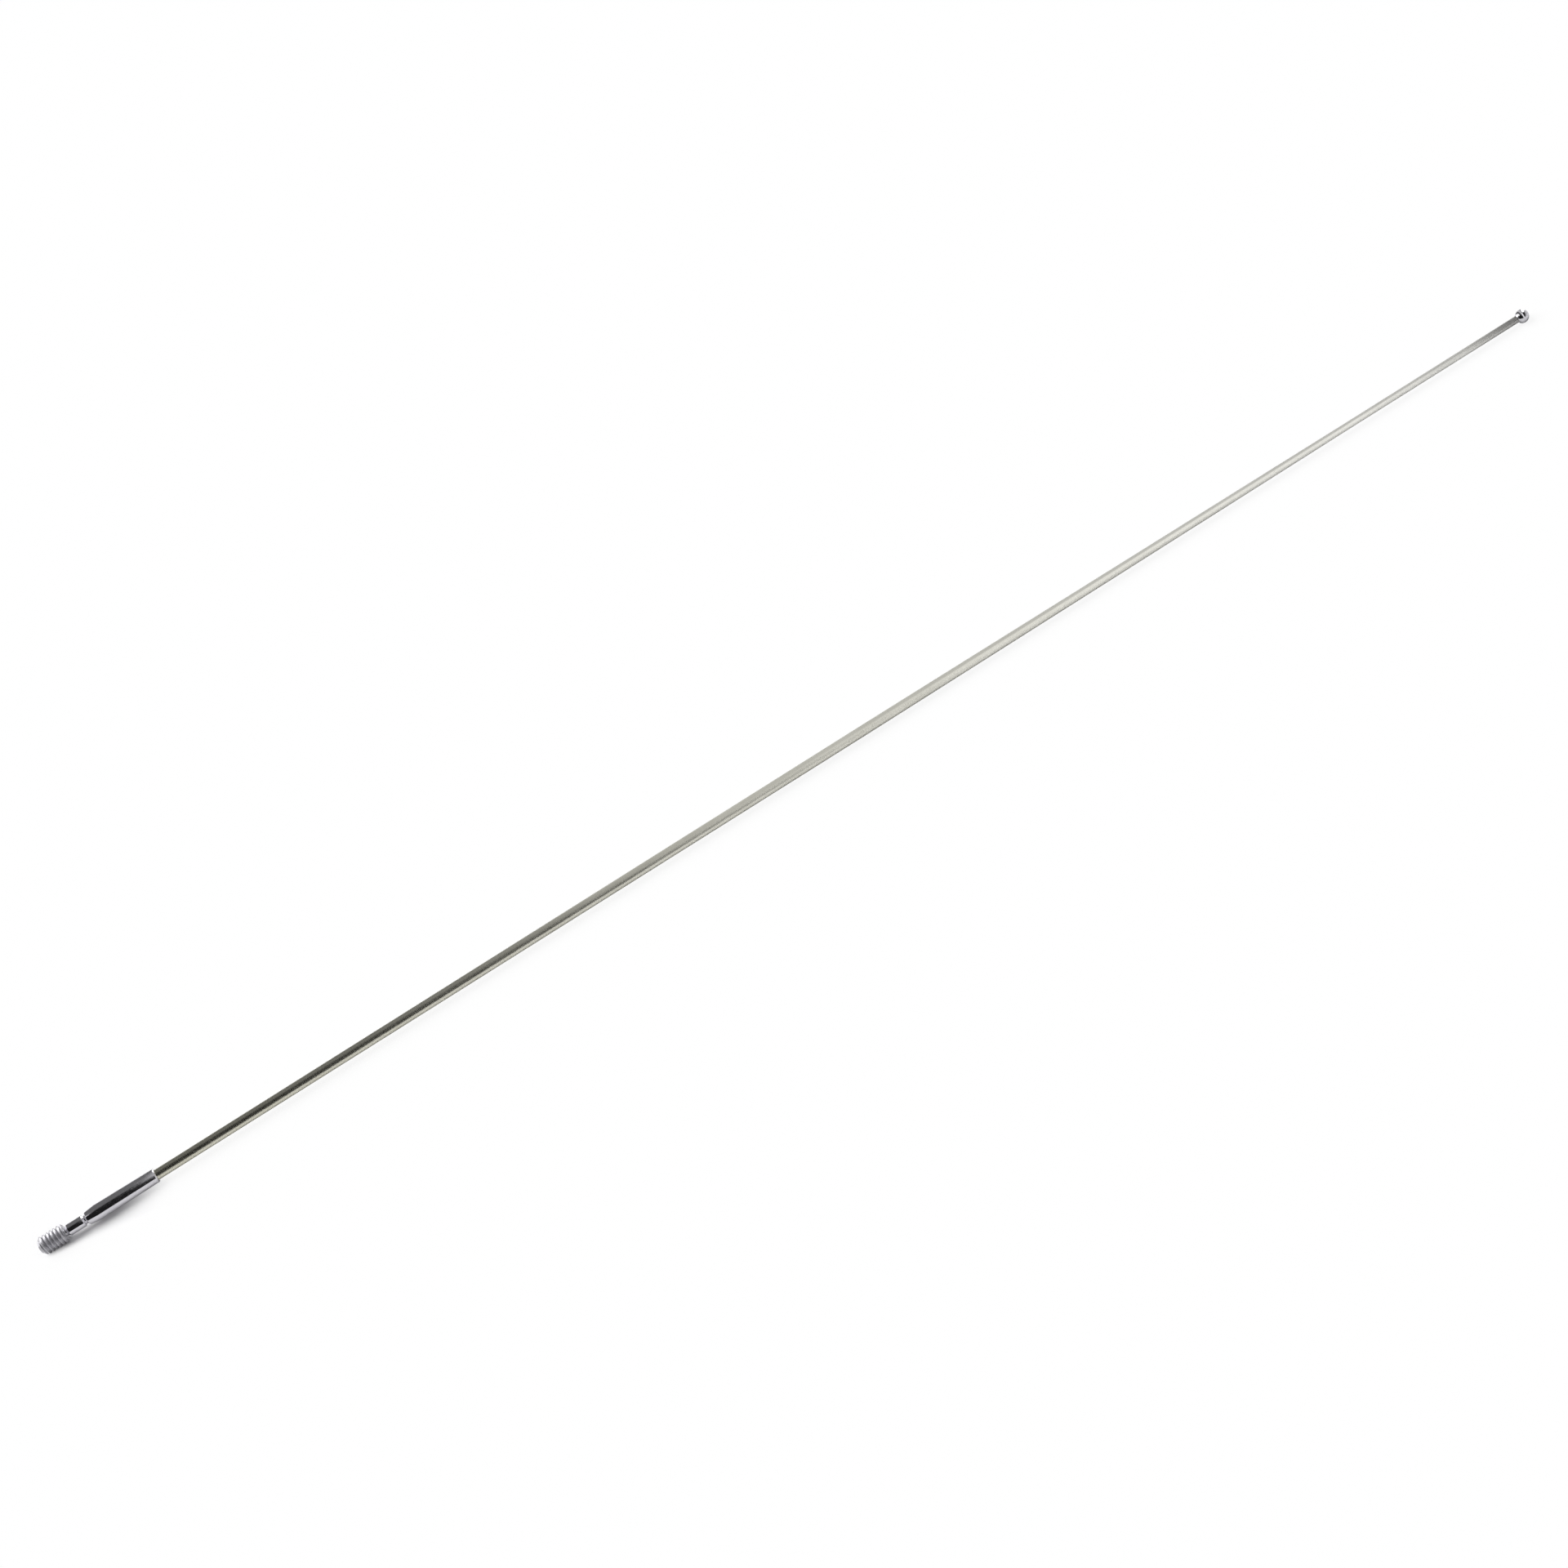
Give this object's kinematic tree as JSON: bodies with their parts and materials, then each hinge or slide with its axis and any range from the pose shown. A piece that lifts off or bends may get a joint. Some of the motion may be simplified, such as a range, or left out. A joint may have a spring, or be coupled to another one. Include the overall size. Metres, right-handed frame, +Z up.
{
  "type": "car antenna rod",
  "caption": "Car antenna mast: a taper-ground steel whip seated in a turned, plated ferrule with a threaded stud and undercut neck, closed at the tip by a small ball.",
  "frame": {"origin": "centre of the flat free end of the threaded stud, on the mast's axis", "axes": "+X runs along the mast from the stud to the ball at the tip, and +Z is up as the mast lies; the mast is round about X"},
  "size_m": [0.5461, 0.0064, 0.0064],
  "materials": {
    "ferrule_plating": "bright plating over a turned ferrule, mirror-like with faint tool rings",
    "whip_steel": "centreless-ground stainless steel, satin, with a faint warm tint",
    "ball_plating": "polished bead, slightly softer than the ferrule"
  },
  "bodies": {
    "root": {"ferrule": "ferrule_plating", "whip": "whip_steel", "ball_tip": "ball_plating"}
  },
  "joints": []
}
